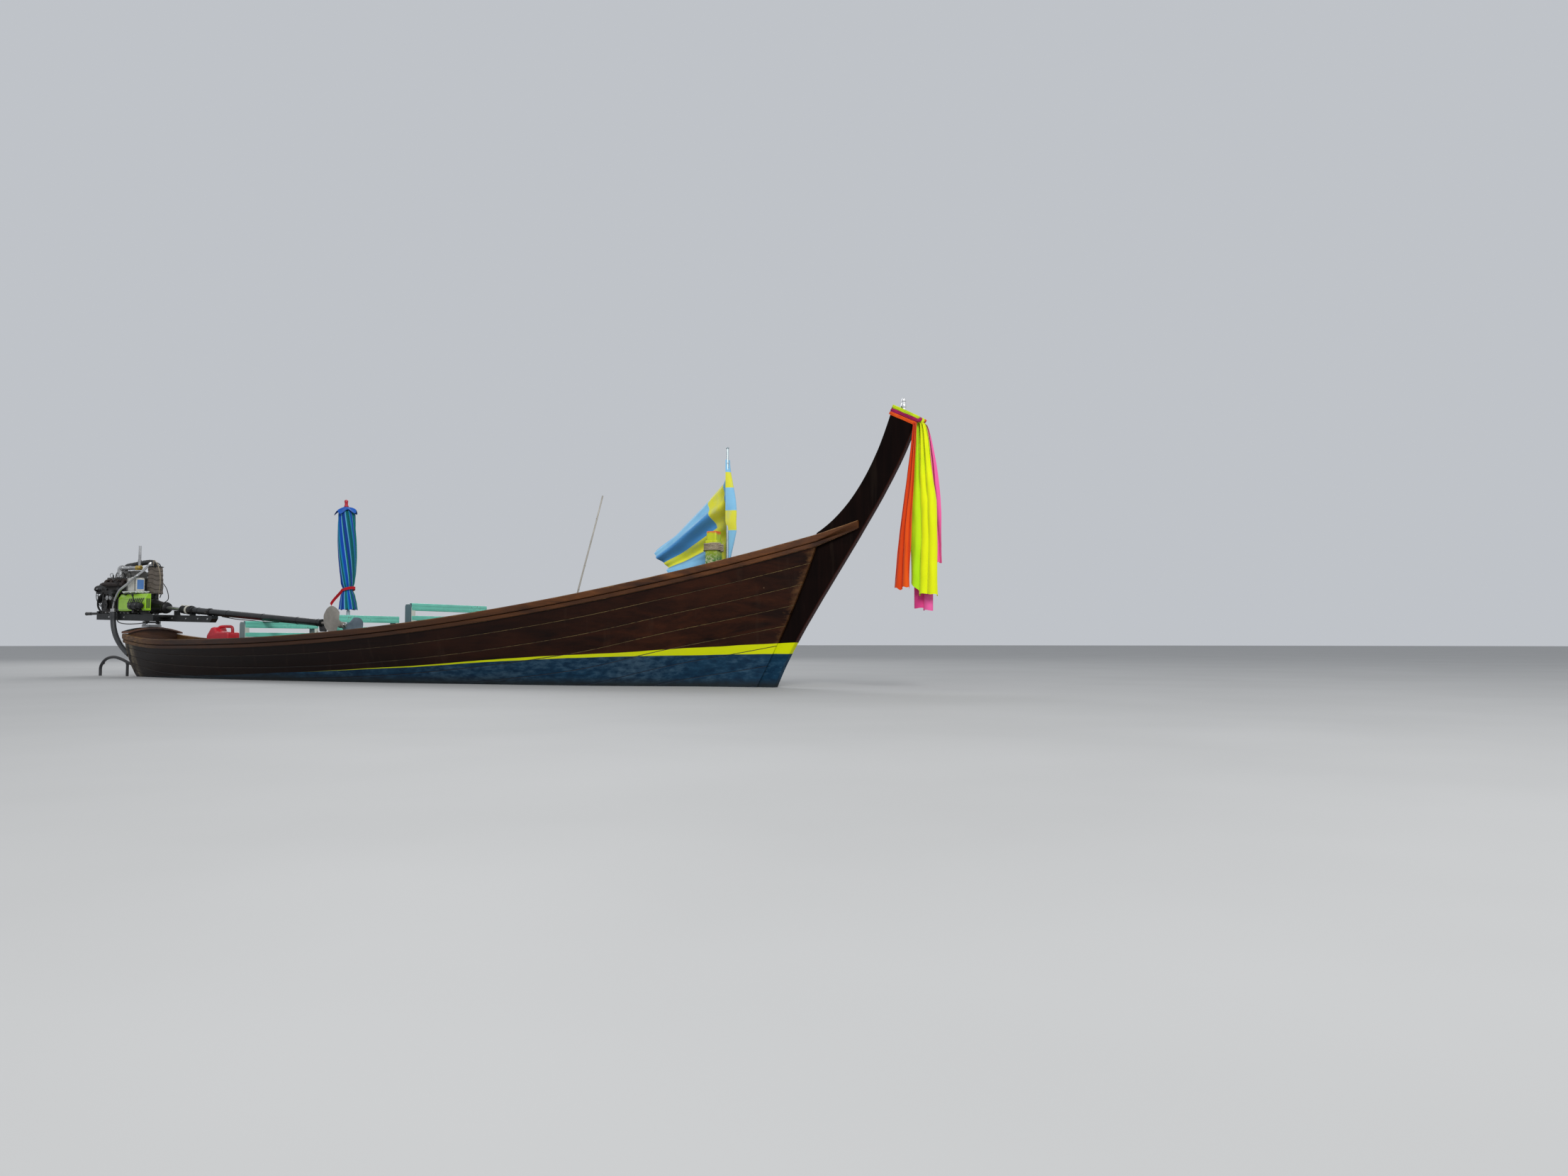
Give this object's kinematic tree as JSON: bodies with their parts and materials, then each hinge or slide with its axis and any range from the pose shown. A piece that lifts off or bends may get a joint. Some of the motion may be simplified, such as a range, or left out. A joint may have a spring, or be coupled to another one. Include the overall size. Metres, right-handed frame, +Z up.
{
  "type": "longtail boat",
  "caption": "Wooden longtail boat with a tall raked prow, benches, and a car-type engine on a swivel that carries a long propeller shaft, stowed over the benches.",
  "frame": {"origin": "on the centreline at the waterline, amidships: half way along the hull between the transom's top and the prow's tip, to within 0.1 m", "axes": "+X to the bow, +Y to port, +Z up; the water's surface is Z = 0"},
  "size_m": [11.884, 1.9314, 3.0178],
  "materials": {
    "dark_timber": "varnished, near black",
    "hull_timber": "dark varnish, blue paint under the waterline",
    "worn_timber": "worn, unvarnished in places",
    "pale_wood": "weathered",
    "mint_paint": "satin paint over wood",
    "lime_paint": "gloss paint over wood",
    "rope": "twisted fibre",
    "flag_cloth": "matte cloth",
    "umbrella_cloth": "striped cloth",
    "band_cloth": "satin cloth",
    "orange_cloth": "satin cloth",
    "yellow_cloth": "satin cloth",
    "pink_cloth": "satin cloth",
    "pole_steel": "satin",
    "black_steel": "worn black paint",
    "bright_steel": "bright, slightly dulled",
    "engine_metal": "oily, dark",
    "propeller_metal": "worn",
    "finial_metal": "polished",
    "black_plastic": "matte",
    "dark_plastic": "dusty",
    "white_plastic": "aged white",
    "lime_plastic": "gloss",
    "red_plastic": "satin",
    "black_rubber": "matte"
  },
  "bodies": {
    "hull": {"keel": "dark_timber", "stem_prow": "dark_timber", "transom": "hull_timber", "strake_port_1": "hull_timber", "strake_port_2": "hull_timber", "strake_port_3": "hull_timber", "strake_port_4": "hull_timber", "strake_port_5": "hull_timber", "strake_port_6": "hull_timber", "strake_starboard_1": "hull_timber", "strake_starboard_2": "hull_timber", "strake_starboard_3": "hull_timber", "strake_starboard_4": "hull_timber", "strake_starboard_5": "hull_timber", "strake_starboard_6": "hull_timber", "gunwale_port": "worn_timber", "gunwale_starboard": "worn_timber", "frames": "hull_timber", "riser_port": "hull_timber", "riser_starboard": "hull_timber", "floorboards": "worn_timber", "stern_deck": "worn_timber", "foredeck": "worn_timber", "stern_arch": "dark_timber", "swivel_base": "black_steel", "seat_1": "mint_paint", "seat_2": "mint_paint", "seat_3": "mint_paint", "backrest_1": "mint_paint", "backrest_2": "mint_paint", "backrest_3": "mint_paint", "bow_post": "lime_paint", "post_rope": "rope", "flagpole": "pole_steel", "flag": "flag_cloth", "umbrella_pole": "pole_steel", "umbrella_canopy": "umbrella_cloth", "leaning_pole": "pale_wood", "fuel_can": "red_plastic", "head_band": "band_cloth", "finial": "finial_metal", "scarf_orange": "orange_cloth", "scarf_yellow": "yellow_cloth", "scarf_pink": "pink_cloth", "stern_pipe": "black_plastic"},
    "swivel": {"swivel_yoke": "black_steel"},
    "engine": {"engine_frame": "black_steel", "engine_block": "engine_metal", "gearbox": "engine_metal", "cooling_fan": "black_plastic", "side_cover": "lime_plastic", "header_tank": "white_plastic", "exhaust": "bright_steel", "intake": "dark_plastic", "cooling_tube": "bright_steel", "cooling_hose": "black_rubber", "tiller": "black_steel", "shaft_tube": "black_steel"},
    "propeller": {"propeller": "propeller_metal"}
  },
  "joints": [
    {"name": "engine_swivel", "type": "hinge", "parent": "hull", "child": "swivel", "pos_m": [-4.92, 0, 0.64], "axis": [0, 0, 1], "range_deg": [-270, 0], "deforming": ["cooling_hose"]},
    {"name": "engine_tilt", "type": "hinge", "parent": "swivel", "child": "engine", "pos_m": [-4.92, 0, 0.672], "axis": [-0.124, -0.9923, 0], "range_deg": [0, 18], "deforming": ["cooling_hose"]},
    {"name": "propeller_spin", "type": "hinge", "parent": "engine", "child": "propeller", "pos_m": [-1.2327, -0.4609, 0.6116], "axis": [0.9898, -0.1237, -0.0702], "continuous": true}
  ]
}
